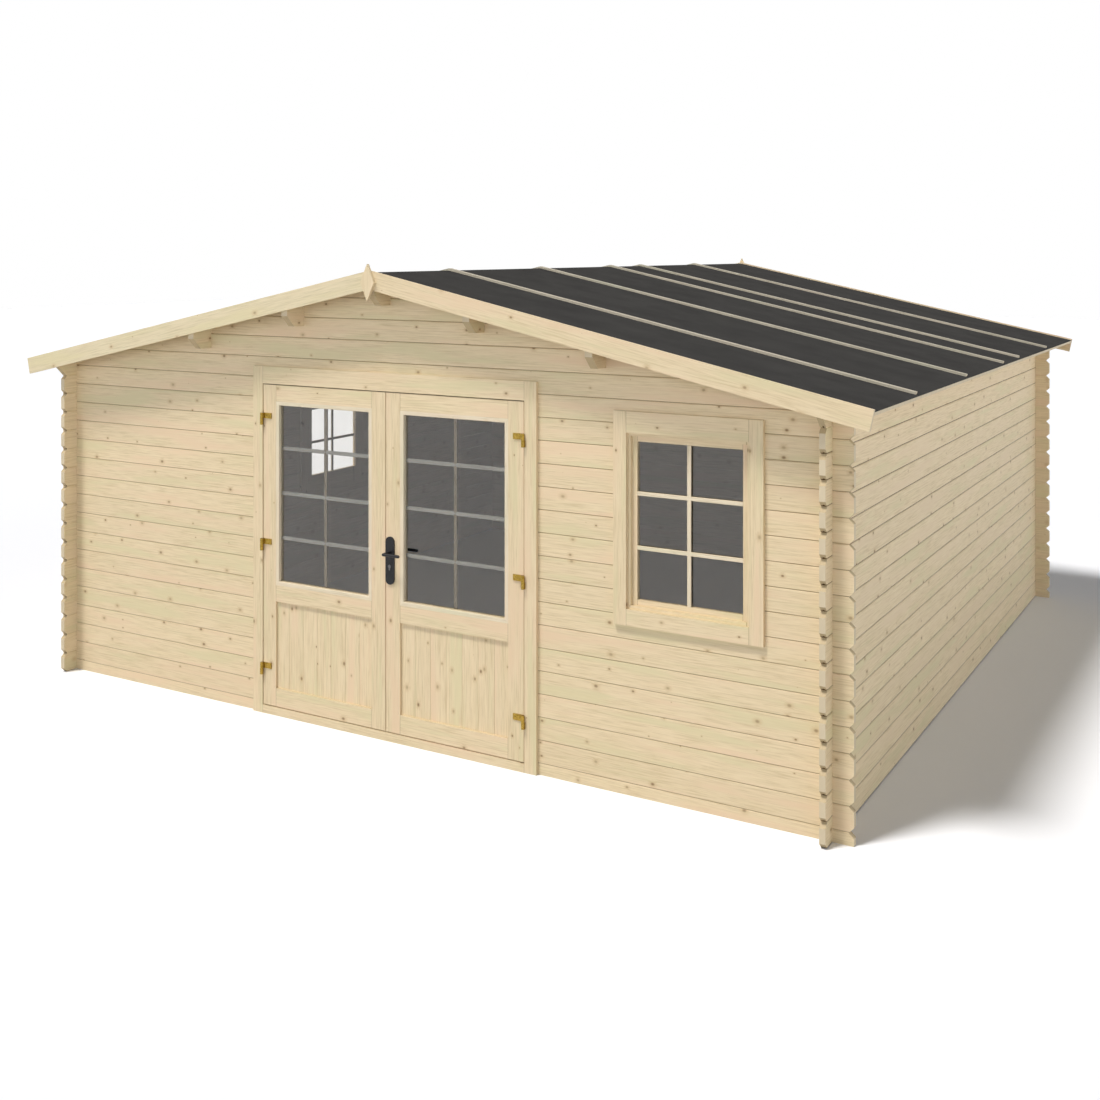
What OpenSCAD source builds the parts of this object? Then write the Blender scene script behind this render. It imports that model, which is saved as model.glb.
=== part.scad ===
// Log cabin with a low gable roof, a glazed double door and two fixed windows.
// Millimetres, +Z up, ground at Z = 0, the door in the wall that faces -Y.

/* [Walls] */
// Width over the outer faces of the side walls
cabin_w = 4800; // [3600:50:6600]
// Depth over the outer faces of the front and back walls
cabin_d = 4800; // [3600:50:6600]
// Height of one log course
log_h = 113; // [100:1:125]
// Thickness of the logs
log_t = 28; // [22:1:45]
// Length of the log ends past a corner
log_end = 95; // [70:1:130]
// Bevel along the long edges of the logs
joint_bevel = 3; // [1:0.5:5]
// Bevel on the corners of the log ends
end_bevel = 23; // [6:1:30]
// Width of the tongue on top of the logs
tongue_w = 10; // [6:1:12]
// Height of the tongue
tongue_h = 8; // [5:1:12]
// Room round a tongue in its groove
tongue_room = 0.5; // [0.3:0.1:1]
// Full courses in the side walls
wall_courses = 16; // [16:1:19]
// Height of the eaves plate at its outer face
plate_h = 119; // [105:1:150]

/* [Roof] */
// Pitch of both slopes in degrees
roof_pitch = 12; // [8:1:20]
// Level distance from a side wall to the edge of the roof
eave_out = 227; // [150:1:350]
// Distance from a gable wall to the bargeboards
gable_out = 140; // [115:1:260]
// Thickness of the roof boards
board_t = 16; // [12:1:25]
// Thickness of the roofing felt
felt_t = 3; // [2:0.5:6]
// Width of the bargeboards
barge_h = 96; // [70:1:130]
// Thickness of the bargeboards
barge_t = 18; // [12:1:28]
// Rise of the bargeboards over the felt
barge_rise = 9; // [0:1:20]
// Height of the diamond finials
finial_h = 190; // [140:1:260]
// Width of the diamond finials
finial_w = 88; // [60:1:120]
// Thickness of the diamond finials
finial_t = 18; // [12:1:28]
// Drop of a finial's middle below the top of the bargeboards
finial_drop = 61; // [40:1:80]
// Thickness of the purlins
purlin_t = 40; // [30:1:60]
// Height of the purlins
purlin_h = 155; // [120:1:180]
// Middle of the inner purlins from the ridge
purlin_in = 585; // [400:5:800]
// Middle of the outer purlins from the ridge
purlin_out = 1273; // [950:1:1600]
// Length of a purlin's underside past a gable wall
purlin_foot = 82; // [60:1:110]
// Width of the felt battens
batten_w = 30; // [20:1:45]
// Height of the felt battens
batten_h = 12; // [8:1:20]
// Distance from the foot of a batten to the roof edge
batten_stop = 18; // [10:1:60]

/* [Casings] */
// Width of the upright casing boards
casing_w = 68; // [55:1:90]
// Thickness of the casing boards on the wall faces
casing_t = 18; // [12:1:25]
// Thickness of the lining between the casing boards
lining_t = 34; // [25:1:45]
// Height of a casing board over the lining of a head
head_lap = 62; // [40:1:90]
// Depth of a casing board under the lining of a sill
sill_lap = 44; // [30:1:60]

/* [Door] */
// Clear width between the door jambs
door_clear = 1698; // [1500:2:1900]
// Courses that the doorway cuts above the half log
door_courses = 16; // [15:1:17]
// Height of the threshold
threshold_h = 45; // [30:1:60]
// Clearance round each leaf
leaf_gap = 5; // [5:0.5:8]
// Thickness of the leaves
leaf_t = 40; // [34:1:45]
// Set-back of the leaves from the casing face
leaf_back = 3; // [2:1:6]
// Width of the stiles
stile_w = 90; // [70:1:110]
// Height of the top and middle rails
rail_h = 90; // [70:1:110]
// Height of the bottom rail
foot_rail_h = 100; // [80:1:140]
// Height of the boarded panel
panel_h = 480; // [350:5:650]
// Thickness of the boarded panel
panel_t = 16; // [12:1:20]
// Thickness of the glass
glass_t = 4; // [3:0.5:6]
// Set-back of the door glass from the leaf face
glass_back = 20; // [8:1:26]
// Width of the stop that a leaf closes against
stop_w = 12; // [8:1:16]
// Depth of the grooves that hold the panels and the glass
groove_d = 10; // [6:1:14]
// Room round the panels and the glass in their grooves
groove_room = 0.3; // [0.2:0.1:0.8]

/* [Door hardware] */
// Outer diameter of the hinge knuckles
knuckle_d = 18; // [15:0.5:20]
// Diameter of the hinge pins
pin_d = 9; // [7:0.5:10]
// Depth of a hinge pin's top below the top of its hinge
pin_short = 3; // [1:0.5:6]
// Gap between the knuckles and the face of the casing
knuckle_clear = 1; // [0.6:0.1:2]
// Set-back of the lower hinge wings from the edge of the jamb
wing_back = 0.5; // [0.2:0.1:2]
// Radial running clearance of hinge pins and lever
run_clear = 0.05; // [0.03:0.01:0.08]
// Height of one half of a hinge
knuckle_h = 33; // [24:1:40]
// Height of the gap between the halves of a hinge
knuckle_gap = 0.3; // [0.2:0.1:0.5]
// Length of the hinge strap from the pin
strap_l = 62; // [50:1:75]
// Height of the hinge strap
strap_h = 31; // [20:1:32]
// Thickness of the hinge strap
strap_t = 5; // [4:0.5:6]
// Length of the root of a strap beside its knuckle
strap_root = 4; // [2:0.5:8]
// Distance of the lowest hinge from the foot of a leaf
hinge_foot = 200; // [120:5:300]
// Distance of the top hinge from the head of a leaf
hinge_head = 190; // [120:5:300]
// Width of the handle plates
plate_w = 55; // [40:1:58]
// Length of the handle plates
plate_l = 250; // [200:5:280]
// Thickness of the handle plates
plate_t = 8; // [6:1:10]
// Middle of the handle plates from the meeting line
plate_x = 31; // [31:1:40]
// Height of the lever over the ground
lever_z = 990; // [900:5:1100]
// Height of the lever over the middle of its plate
lever_up = 42; // [30:1:60]
// Diameter of the lever grip and its neck
lever_d = 16; // [13:0.5:18]
// Length of the lever grip from its neck
lever_l = 95; // [80:1:120]
// Distance from the plate to the middle of the grip
lever_reach = 55; // [36:1:65]
// Diameter of the spindle between the two levers
spindle_d = 9; // [8:0.5:11]
// Room round the spindle in the stile
spindle_room = 1.5; // [1:0.5:3]

/* [Windows] */
// Clear width between the upright window casings
window_clear = 615; // [480:5:760]
// Courses that a window opening cuts
window_courses = 8; // [6:1:8]
// Courses under a window opening
window_sill_courses = 7; // [6:1:8]
// Shift of the front window from the middle of the wall beside the door
front_window_x = 70; // [-150:5:150]
// Middle of the side window from the middle of the wall
side_window_y = 60; // [-900:5:900]
// Thickness of the lining under a window head
window_head_t = 40; // [30:1:50]
// Width of the lip on the lining that the sash stands behind
lip_w = 15; // [10:1:20]
// Set-back of the sash from the wall face
sash_back = 18; // [10:1:22]
// Width of the sash members
sash_w = 42; // [36:1:60]

/* [Hidden] */
$fn = 48;
half_w = cabin_w / 2;
half_d = cabin_d / 2;
notch = log_h / 4;
slope = tan(roof_pitch);
side_top = wall_courses * log_h;
plate_top = side_top + plate_h;
function under(x) = plate_top + (half_w - abs(x)) * slope;
ridge_z = under(0);
gable_courses = floor((ridge_z - log_h / 2) / log_h);
roof_t = board_t + felt_t;
barge_top = roof_t + barge_rise;
slope_l = (half_w + eave_out - roof_t * sin(roof_pitch)) / cos(roof_pitch);
roof_d = half_d + gable_out;
purlin_xs = [purlin_in, purlin_out];
batten_places = [-0.7146, -0.3138, 0.0587, 0.2441, 0.6209];
batten_ys = batten_places * roof_d;
over = 1;

frame_t = log_t + 2 * casing_t;
door_half = door_clear / 2;
door_top = (door_courses + 0.5) * log_h;
head_z = door_top - lining_t;
leaf_y = leaf_back - casing_t;
leaf_z0 = threshold_h + leaf_gap;
leaf_z1 = head_z - leaf_gap;
leaf_x0 = leaf_gap / 2;
leaf_x1 = door_half - leaf_gap;
rail_x0 = leaf_x0 + stile_w;
rail_x1 = leaf_x1 - stile_w;
panel_z0 = leaf_z0 + foot_rail_h;
panel_z1 = panel_z0 + panel_h;
glass_z0 = panel_z1 + rail_h;
glass_z1 = leaf_z1 - rail_h;
stop_y = leaf_y + leaf_t + leaf_gap;
pin_x = door_half - leaf_gap / 2;
pin_y = -casing_t - knuckle_d / 2 - knuckle_clear;
hinge_zs = [leaf_z0 + hinge_foot, (leaf_z0 + leaf_z1) / 2, leaf_z1 - hinge_head];
neck_in = 0.5;
seat = groove_d - groove_room;

window_half = window_clear / 2;
front_window_mid = (door_half + casing_w + half_w - log_t) / 2 + front_window_x;
front_sill_z = (window_sill_courses + 0.5) * log_h;
side_sill_z = window_sill_courses * log_h;
window_h = window_courses * log_h;
pane_x = window_half - sash_w;
lip_x = window_half - lip_w;
sash_y1 = log_t + casing_t;
sash_z1 = window_h - window_head_t;

// Box from one corner to the opposite one.
module box(a, b) {
    translate(a)
        cube(b - a);
}

// Profile drawn in X and Z, run along Y from y0 to y1.
module run_y(points, y0, y1) {
    translate([0, y1, 0])
        rotate([90, 0, 0])
            linear_extrude(height = y1 - y0)
                polygon(points);
}

// Profile drawn in Y and Z, run along X from -half to half.
module run_x(points, half) {
    translate([-half, 0, 0])
        rotate([90, 0, 90])
            linear_extrude(height = 2 * half)
                polygon(points);
}

// Outline with its right half given from the bottom up, mirrored to the left.
function both_sides(right) = concat(right, [for (i = [len(right) - 1 : -1 : 0]) [-right[i][0], right[i][1]]]);

// Right half of a log's outline: notched over and under the crossing wall, bevelled at its end.
function log_outline(half, z0, z1, low, high) = concat(
    low ? [[half - log_t, z0], [half - log_t, z0 + notch], [half, z0 + notch], [half, z0],
        [half + log_end - end_bevel, z0], [half + log_end, z0 + end_bevel]] : [[half + log_end, z0]],
    high ? [[half + log_end, z1 - end_bevel], [half + log_end - end_bevel - tongue_h, z1 + tongue_h],
        [half, z1 + tongue_h], [half, z1 - notch], [half - log_t, z1 - notch],
        [half - log_t, z1 + tongue_h]] : [[half + log_end, z1 + tongue_h]]);

// Steps across the middle of a log: its tongue, or the groove for the tongue of the log below.
function step_across(z, wide, high) = [[log_t / 2 - wide / 2, z], [log_t / 2 - wide / 2, z + high],
    [log_t / 2 + wide / 2, z + high], [log_t / 2 + wide / 2, z]];

function tongue(z) = [for (i = [3 : -1 : 0]) step_across(z, tongue_w, tongue_h)[i]];

function groove(z) = step_across(z, tongue_w + 2 * tongue_room, tongue_h + tongue_room);

// Underside of a log: flat on the ground, else with bevelled edges, and grooved over another log.
function log_foot(z, edged, grooved) = concat(
    edged ? [[0, z + joint_bevel], [joint_bevel, z]] : [[0, z]],
    grooved ? groove(z) : [],
    edged ? [[log_t - joint_bevel, z], [log_t, z + joint_bevel]] : [[log_t, z]]);

// Cross-section of a log with its outer face at Y = 0.
function log_section(z0, z1, edged, grooved) = concat(log_foot(z0, edged, grooved),
    [[log_t, z1 - joint_bevel], [log_t - joint_bevel, z1]], tongue(z1),
    [[joint_bevel, z1], [0, z1 - joint_bevel]]);

// One whole log: its outline run across the wall, met by its section run along the wall.
module log(outline, section, half) {
    intersection() {
        run_y(both_sides(outline), 0, log_t);
        run_x(section, half + log_end + over);
    }
}

// Course k of a gable wall, from the half log on the ground to the log under the ridge.
module gable_log(k) {
    z0 = max(0, (k - 0.5) * log_h);
    z1 = k == gable_courses ? ridge_z : (k + 0.5) * log_h;
    crossing = z0 < plate_top;
    capped = (k + 0.5) * log_h < plate_top;
    reach = half_w + (plate_top - z0) / slope;
    difference() {
        if (crossing)
            log(log_outline(half_w, z0, z1, k > 0, capped), log_section(z0, z1, k > 0, k > 0), half_w);
        else
            log([[reach, z0], [reach, z1 + tongue_h]], log_section(z0, z1, true, true), half_w);
        if (z1 + tongue_h > under(half_w + log_end))
            above_roof();
        if (z1 + tongue_h > under(purlin_out) - purlin_h)
            purlin_notches();
    }
}

// Everything over the underside of the roof boards, across the wall.
module above_roof() {
    wide = half_w + eave_out + log_end;
    run_y([[0, ridge_z], [wide, under(wide)], [wide, ridge_z + log_h],
        [-wide, ridge_z + log_h], [-wide, under(wide)]], -over, log_t + over);
}

// Seats of the five purlins, across the wall and up through the underside of the roof.
module purlin_notches() {
    run_y(ridge_section(over), -over, log_t + over);
    for (x = purlin_xs)
        for (s = [-1, 1])
            run_y(purlin_section(s * x, over), -over, log_t + over);
}

// Section of the ridge purlin, with its top raised by up over the underside of the roof.
function ridge_section(up) = [[-purlin_t / 2, ridge_z - purlin_h], [purlin_t / 2, ridge_z - purlin_h],
    [purlin_t / 2, under(purlin_t / 2) + up], [0, ridge_z + up], [-purlin_t / 2, under(purlin_t / 2) + up]];

// Section of another purlin with its middle at x, in the same way.
function purlin_section(x, up) = [
    [x - purlin_t / 2, under(x) - purlin_h], [x + purlin_t / 2, under(x) - purlin_h],
    [x + purlin_t / 2, under(x + purlin_t / 2) + up], [x - purlin_t / 2, under(x - purlin_t / 2) + up]];

// Course k of a side wall.
module side_log(k) {
    log(log_outline(half_d, k * log_h, (k + 1) * log_h, true, true),
        log_section(k * log_h, (k + 1) * log_h, true, k > 0), half_d);
}

// Places for the walls, each drawn with its outer face at Y = 0 and its inner face at Y = log_t.
module on_front() {
    translate([0, -half_d, 0])
        children();
}

module on_back() {
    translate([0, half_d, 0])
        rotate([0, 0, 180])
            children();
}

module on_left() {
    translate([-half_w, 0, 0])
        rotate([0, 0, -90])
            children();
}

module on_right() {
    translate([half_w, 0, 0])
        rotate([0, 0, 90])
            children();
}

// Hole in the logs for a window whose lining starts at sill height z, with the tongues over and under it.
module window_hole(x, z) {
    box([x - window_half - lining_t, -over, z],
        [x + window_half + lining_t, log_t + over, z + window_h + tongue_h + over]);
}

module door_hole() {
    box([-door_half - lining_t, -over, -over],
        [door_half + lining_t, log_t + over, door_top + tongue_h + over]);
}

// Wall logs
module front_logs(first) {
    color("burlywood")
        on_front()
            for (k = [first : 2 : gable_courses])
                difference() {
                    gable_log(k);
                    if (k <= door_courses)
                        door_hole();
                    if (k >= window_sill_courses && k <= window_sill_courses + window_courses)
                        window_hole(front_window_mid, front_sill_z);
                }
}

module back_logs(first) {
    color("burlywood")
        on_back()
            for (k = [first : 2 : gable_courses])
                gable_log(k);
}

module left_logs(first) {
    color("tan")
        on_left()
            for (k = [first : 2 : wall_courses - 1])
                difference() {
                    side_log(k);
                    if (k >= window_sill_courses - 1 && k < window_sill_courses + window_courses)
                        window_hole(-side_window_y, side_sill_z);
                }
}

module right_logs(first) {
    color("tan")
        on_right()
            for (k = [first : 2 : wall_courses - 1])
                side_log(k);
}

module front_wall_odd_logs() {
    front_logs(1);
}

module front_wall_even_logs() {
    front_logs(0);
}

module back_wall_odd_logs() {
    back_logs(1);
}

module back_wall_even_logs() {
    back_logs(0);
}

module left_wall_odd_logs() {
    left_logs(1);
}

module left_wall_even_logs() {
    left_logs(0);
}

module right_wall_odd_logs() {
    right_logs(1);
}

module right_wall_even_logs() {
    right_logs(0);
}

// Top log of a side wall: its top follows the roof, its ends run on as slanted brackets.
module eaves_plate() {
    rise = gable_out - purlin_foot;
    top = plate_top + log_t * slope + over;
    intersection() {
        run_y(both_sides([[half_d - log_t, side_top], [half_d - log_t, side_top + notch],
            [half_d, side_top + notch], [half_d, side_top], [half_d + purlin_foot, side_top],
            [roof_d, side_top + rise], [roof_d, top], [half_d, top], [half_d, side_top + 3 * notch],
            [half_d - log_t, side_top + 3 * notch], [half_d - log_t, top]]), 0, log_t);
        run_x(concat(log_foot(side_top, true, true),
            [[log_t, plate_top + log_t * slope], [0, plate_top]]), roof_d + over);
    }
}

module left_eaves_plate() {
    color("tan")
        on_left()
            eaves_plate();
}

module right_eaves_plate() {
    color("tan")
        on_right()
            eaves_plate();
}

// Purlin with both ends cut on a slant behind the bargeboards.
module purlin(section, foot_z, top_z) {
    rise = gable_out - purlin_foot;
    intersection() {
        run_y(section, -roof_d, roof_d);
        rotate([0, 0, 90])
            run_y(both_sides([[half_d + purlin_foot, foot_z], [roof_d, foot_z + rise], [roof_d, top_z]]),
                -half_w, half_w);
    }
}

module side_purlins(side) {
    color("peru")
        for (x = purlin_xs)
            purlin(purlin_section(side * x, 0), under(x) - purlin_h, under(x) + purlin_t);
}

module ridge_purlin() {
    color("peru")
        purlin(ridge_section(0), ridge_z - purlin_h, ridge_z + purlin_t);
}

module left_purlins() {
    side_purlins(-1);
}

module right_purlins() {
    side_purlins(1);
}

// Layer of one roof slope between two heights over the underside, cut plumb at the ridge.
module roof_layer(side, low, high, u0, u1, y0, y1) {
    translate([0, 0, ridge_z])
        rotate([0, side * roof_pitch, 0])
            run_y([[side * (u0 - low * slope), low], [side * u1, low],
                [side * u1, high], [side * (u0 - high * slope), high]], y0, y1);
}

module left_roof_boards() {
    color("wheat")
        roof_layer(-1, 0, board_t, 0, slope_l, -roof_d, roof_d);
}

module right_roof_boards() {
    color("wheat")
        roof_layer(1, 0, board_t, 0, slope_l, -roof_d, roof_d);
}

module left_roof_felt() {
    color("dimgray")
        roof_layer(-1, board_t, roof_t, 0, slope_l, -roof_d, roof_d);
}

module right_roof_felt() {
    color("dimgray")
        roof_layer(1, board_t, roof_t, 0, slope_l, -roof_d, roof_d);
}

module felt_battens(side) {
    color("silver")
        for (y = batten_ys)
            roof_layer(side, roof_t, roof_t + batten_h, 0, slope_l - batten_stop,
                y - batten_w / 2, y + batten_w / 2);
}

module left_felt_battens() {
    felt_battens(-1);
}

module right_felt_battens() {
    felt_battens(1);
}

// Bargeboard with its top edge a little over the felt.
module bargeboard(side, y0, y1) {
    color("moccasin")
        roof_layer(side, barge_top - barge_h, barge_top, 0, slope_l, y0, y1);
}

module front_left_bargeboard() {
    bargeboard(-1, -roof_d - barge_t, -roof_d);
}

module front_right_bargeboard() {
    bargeboard(1, -roof_d - barge_t, -roof_d);
}

module back_left_bargeboard() {
    bargeboard(-1, roof_d, roof_d + barge_t);
}

module back_right_bargeboard() {
    bargeboard(1, roof_d, roof_d + barge_t);
}

module gable_finials() {
    mid = ridge_z + barge_top / cos(roof_pitch) - finial_drop;
    face = roof_d + barge_t;
    color("moccasin")
        for (y = [-face - finial_t, face])
            run_y([[0, mid - finial_h / 2], [finial_w / 2, mid],
                [0, mid + finial_h / 2], [-finial_w / 2, mid]], y, y + finial_t);
}

// Door frame
module door_jambs() {
    color("navajowhite")
        on_front()
            for (s = [-1, 1])
                scale([s, 1, 1]) {
                    box([door_half, -casing_t, 0], [door_half + casing_w, 0, door_top + head_lap]);
                    box([door_half, log_t, 0], [door_half + casing_w, log_t + casing_t, door_top + head_lap]);
                    box([door_half, -casing_t, 0], [door_half + lining_t, log_t + casing_t, door_top]);
                    box([door_half - stop_w, stop_y, threshold_h], [door_half, log_t + casing_t, head_z]);
                }
}

module door_head() {
    color("navajowhite")
        on_front() {
            box([-door_half, -casing_t, head_z], [door_half, 0, door_top + head_lap]);
            box([-door_half, log_t, head_z], [door_half, log_t + casing_t, door_top + head_lap]);
            box([-door_half, -casing_t, head_z], [door_half, log_t + casing_t, door_top]);
            box([stop_w - door_half, stop_y, head_z - stop_w],
                [door_half - stop_w, log_t + casing_t, head_z]);
        }
}

module door_threshold() {
    color("navajowhite")
        on_front() {
            box([-door_half, -casing_t, 0], [door_half, log_t + casing_t, threshold_h]);
            box([stop_w - door_half, stop_y, threshold_h],
                [door_half - stop_w, log_t + casing_t, threshold_h + stop_w]);
        }
}

// Lower hinge halves on the jambs, each with its pin.
module door_hinge_pins() {
    foot = -knuckle_h;
    head = -knuckle_gap / 2;
    color("goldenrod")
        on_front()
            for (s = [-1, 1])
                for (z = hinge_zs)
                    translate([s * pin_x, pin_y, z]) {
                        translate([0, 0, foot])
                            cylinder(d = knuckle_d, h = head - foot);
                        translate([0, 0, foot / 2])
                            cylinder(d = pin_d, h = knuckle_h - pin_short - foot / 2);
                        scale([s, 1, 1])
                            box([leaf_gap / 2 + wing_back, -pin_d / 2, foot],
                                [knuckle_d / 2, -casing_t - pin_y, head]);
                    }
}

// Door leaves: drawn for the right side, side = -1 turns them to the left
// Panel of a leaf, let into its frame by deep and with room on its faces.
module panel_plate(deep, room) {
    mid = leaf_y + leaf_t / 2;
    box([rail_x0 - deep, mid - panel_t / 2 - room, panel_z0 - deep],
        [rail_x1 + deep, mid + panel_t / 2 + room, panel_z1 + deep]);
}

// Glass of a leaf, in the same way.
module glass_plate(deep, room) {
    face = leaf_y + glass_back;
    box([rail_x0 - deep, face - room, glass_z0 - deep],
        [rail_x1 + deep, face + glass_t + room, glass_z1 + deep]);
}

module leaf_stiles(side) {
    color("blanchedalmond")
        on_front()
            scale([side, 1, 1])
                for (x = [[leaf_x0, rail_x0], [rail_x1, leaf_x1]])
                    difference() {
                        box([x[0], leaf_y, leaf_z0], [x[1], leaf_y + leaf_t, leaf_z1]);
                        panel_plate(groove_d, groove_room);
                        glass_plate(groove_d, groove_room);
                    }
}

module leaf_rails(side) {
    color("blanchedalmond")
        on_front()
            scale([side, 1, 1])
                for (z = [[leaf_z0, panel_z0], [panel_z1, glass_z0], [glass_z1, leaf_z1]])
                    difference() {
                        box([rail_x0, leaf_y, z[0]], [rail_x1, leaf_y + leaf_t, z[1]]);
                        panel_plate(groove_d, groove_room);
                        glass_plate(groove_d, groove_room);
                    }
}

module leaf_panel(side) {
    color("bisque")
        on_front()
            scale([side, 1, 1])
                panel_plate(seat, 0);
}

module leaf_glass(side) {
    color("lightsteelblue")
        on_front()
            scale([side, 1, 1])
                glass_plate(seat, 0);
}

// Upper hinge halves on a leaf, each with its strap.
module leaf_hinges(side) {
    foot = knuckle_gap / 2;
    face = leaf_y - pin_y;
    color("goldenrod")
        on_front()
            for (z = hinge_zs)
                translate([side * pin_x, pin_y, z])
                    difference() {
                        union() {
                            translate([0, 0, foot])
                                cylinder(d = knuckle_d, h = knuckle_h - foot);
                            scale([side, 1, 1]) {
                                box([-strap_l, face - strap_t, knuckle_h - strap_h],
                                    [-leaf_gap / 2, face, knuckle_h]);
                                box([-knuckle_d / 2 - strap_root, 0, knuckle_h - strap_h],
                                    [-leaf_gap / 2, face, knuckle_h]);
                            }
                        }
                        translate([0, 0, -over])
                            cylinder(d = pin_d + 2 * run_clear, h = knuckle_h + 2 * over);
                    }
}

module left_leaf_stiles() {
    leaf_stiles(-1);
}

module left_leaf_rails() {
    leaf_rails(-1);
}

module left_leaf_panel() {
    leaf_panel(-1);
}

module left_leaf_glass() {
    leaf_glass(-1);
}

module left_leaf_hinges() {
    leaf_hinges(-1);
}

// The right leaf carries the handle, so its meeting stile is bored for the spindle.
module right_leaf_stiles() {
    difference() {
        leaf_stiles(1);
        on_front()
            lever_axis()
                translate([0, 0, leaf_y - over])
                    cylinder(d = spindle_d + 2 * spindle_room, h = leaf_t + 2 * over);
    }
}

module right_leaf_rails() {
    leaf_rails(1);
}

module right_leaf_panel() {
    leaf_panel(1);
}

module right_leaf_glass() {
    leaf_glass(1);
}

module right_leaf_hinges() {
    leaf_hinges(1);
}

// Lever axis, turned so that Z runs into the door.
module lever_axis() {
    translate([plate_x, 0, lever_z])
        rotate([-90, 0, 0])
            children();
}

// Plate with round ends round the lever, drawn from the face at Z = 0 outwards.
module handle_plate() {
    half = plate_l / 2 - plate_w / 2;
    difference() {
        union() {
            box([-plate_w / 2, lever_up - half, 0], [plate_w / 2, lever_up + half, plate_t]);
            for (y = [lever_up - half, lever_up + half])
                translate([0, y, 0])
                    cylinder(d = plate_w, h = plate_t);
        }
        translate([0, 0, -over])
            cylinder(d = lever_d + 2 * run_clear, h = plate_t + 2 * over);
    }
}

module handle_plates() {
    color("dimgray")
        on_front()
            lever_axis()
                for (z = [leaf_y - plate_t, leaf_y + leaf_t])
                    translate([0, 0, z])
                        handle_plate();
}

// Outer and inner lever on one spindle.
module door_lever() {
    outer = leaf_y - plate_t - lever_reach;
    inner = leaf_y + leaf_t + plate_t + lever_reach;
    color("black")
        on_front()
            lever_axis() {
                translate([0, 0, outer])
                    cylinder(d = spindle_d, h = inner - outer);
                translate([0, 0, outer])
                    cylinder(d = lever_d, h = leaf_y - neck_in - outer);
                translate([0, 0, leaf_y + leaf_t + neck_in])
                    cylinder(d = lever_d, h = inner - leaf_y - leaf_t - neck_in);
                for (z = [outer, inner])
                    translate([0, 0, z]) {
                        sphere(d = lever_d);
                        rotate([0, 90, 0])
                            cylinder(d = lever_d, h = lever_l);
                        translate([lever_l, 0, 0])
                            sphere(d = lever_d);
                    }
            }
}

// Windows, drawn round x = 0 with the opening's sill at Z = 0
module at_windows() {
    on_front()
        translate([front_window_mid, 0, front_sill_z])
            children();
    on_left()
        translate([-side_window_y, 0, side_sill_z])
            children();
}

module window_side_casings() {
    color("navajowhite")
        at_windows()
            for (s = [-1, 1])
                scale([s, 1, 1]) {
                    for (y = [-casing_t, log_t])
                        box([window_half, y, -sill_lap],
                            [window_half + casing_w, y + casing_t, window_h + head_lap]);
                    box([window_half, -casing_t, 0], [window_half + lining_t, log_t + casing_t, window_h]);
                    box([lip_x, 0, lining_t], [window_half + over, sash_back, sash_z1]);
                }
}

module window_heads_and_sills() {
    color("navajowhite")
        at_windows() {
            for (y = [-casing_t, log_t]) {
                box([-window_half, y, -sill_lap], [window_half, y + casing_t, lining_t]);
                box([-window_half, y, sash_z1], [window_half, y + casing_t, window_h + head_lap]);
            }
            box([-window_half, -casing_t, 0], [window_half, log_t + casing_t, lining_t]);
            box([-window_half, -casing_t, sash_z1], [window_half, log_t + casing_t, window_h]);
            box([-lip_x, 0, lining_t - over], [lip_x, sash_back, lining_t + lip_w]);
            box([-lip_x, 0, sash_z1 - lip_w], [lip_x, sash_back, sash_z1 + over]);
        }
}

// Pane of a window, let into its sash by deep and with room on its faces.
module pane_plate(deep, room) {
    mid = (sash_back + sash_y1) / 2;
    box([-pane_x - deep, mid - glass_t / 2 - room, lining_t + sash_w - deep],
        [pane_x + deep, mid + glass_t / 2 + room, sash_z1 - sash_w + deep]);
}

module window_sash_stiles() {
    color("blanchedalmond")
        at_windows()
            for (s = [-1, 1])
                difference() {
                    scale([s, 1, 1])
                        box([pane_x, sash_back, lining_t], [window_half, sash_y1, sash_z1]);
                    pane_plate(groove_d, groove_room);
                }
}

module window_sash_rails() {
    color("blanchedalmond")
        at_windows()
            for (z = [lining_t, sash_z1 - sash_w])
                difference() {
                    box([-pane_x, sash_back, z], [pane_x, sash_y1, z + sash_w]);
                    pane_plate(groove_d, groove_room);
                }
}

module window_panes() {
    color("lightsteelblue")
        at_windows()
            pane_plate(seat, 0);
}

front_wall_odd_logs();
front_wall_even_logs();
back_wall_odd_logs();
back_wall_even_logs();
left_wall_odd_logs();
left_wall_even_logs();
right_wall_odd_logs();
right_wall_even_logs();
left_eaves_plate();
right_eaves_plate();
ridge_purlin();
left_purlins();
right_purlins();
left_roof_boards();
right_roof_boards();
left_roof_felt();
right_roof_felt();
left_felt_battens();
right_felt_battens();
front_left_bargeboard();
front_right_bargeboard();
back_left_bargeboard();
back_right_bargeboard();
gable_finials();
door_jambs();
door_head();
door_threshold();
door_hinge_pins();
left_leaf_stiles();
left_leaf_rails();
left_leaf_panel();
left_leaf_glass();
left_leaf_hinges();
right_leaf_stiles();
right_leaf_rails();
right_leaf_panel();
right_leaf_glass();
right_leaf_hinges();
handle_plates();
door_lever();
window_side_casings();
window_heads_and_sills();
window_sash_stiles();
window_sash_rails();
window_panes();
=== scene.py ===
"""Looks of the log cabin: finishes, glazing bars, boards, hardware and the studio round it.

Metres throughout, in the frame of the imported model: the door faces -Y and the ground is at Z = 0.
"""

import logging
import math
from dataclasses import dataclass
from enum import Enum
from typing import Callable, Sequence, Union

import bmesh
import bpy
from mathutils import Color, Matrix, Vector


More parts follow.
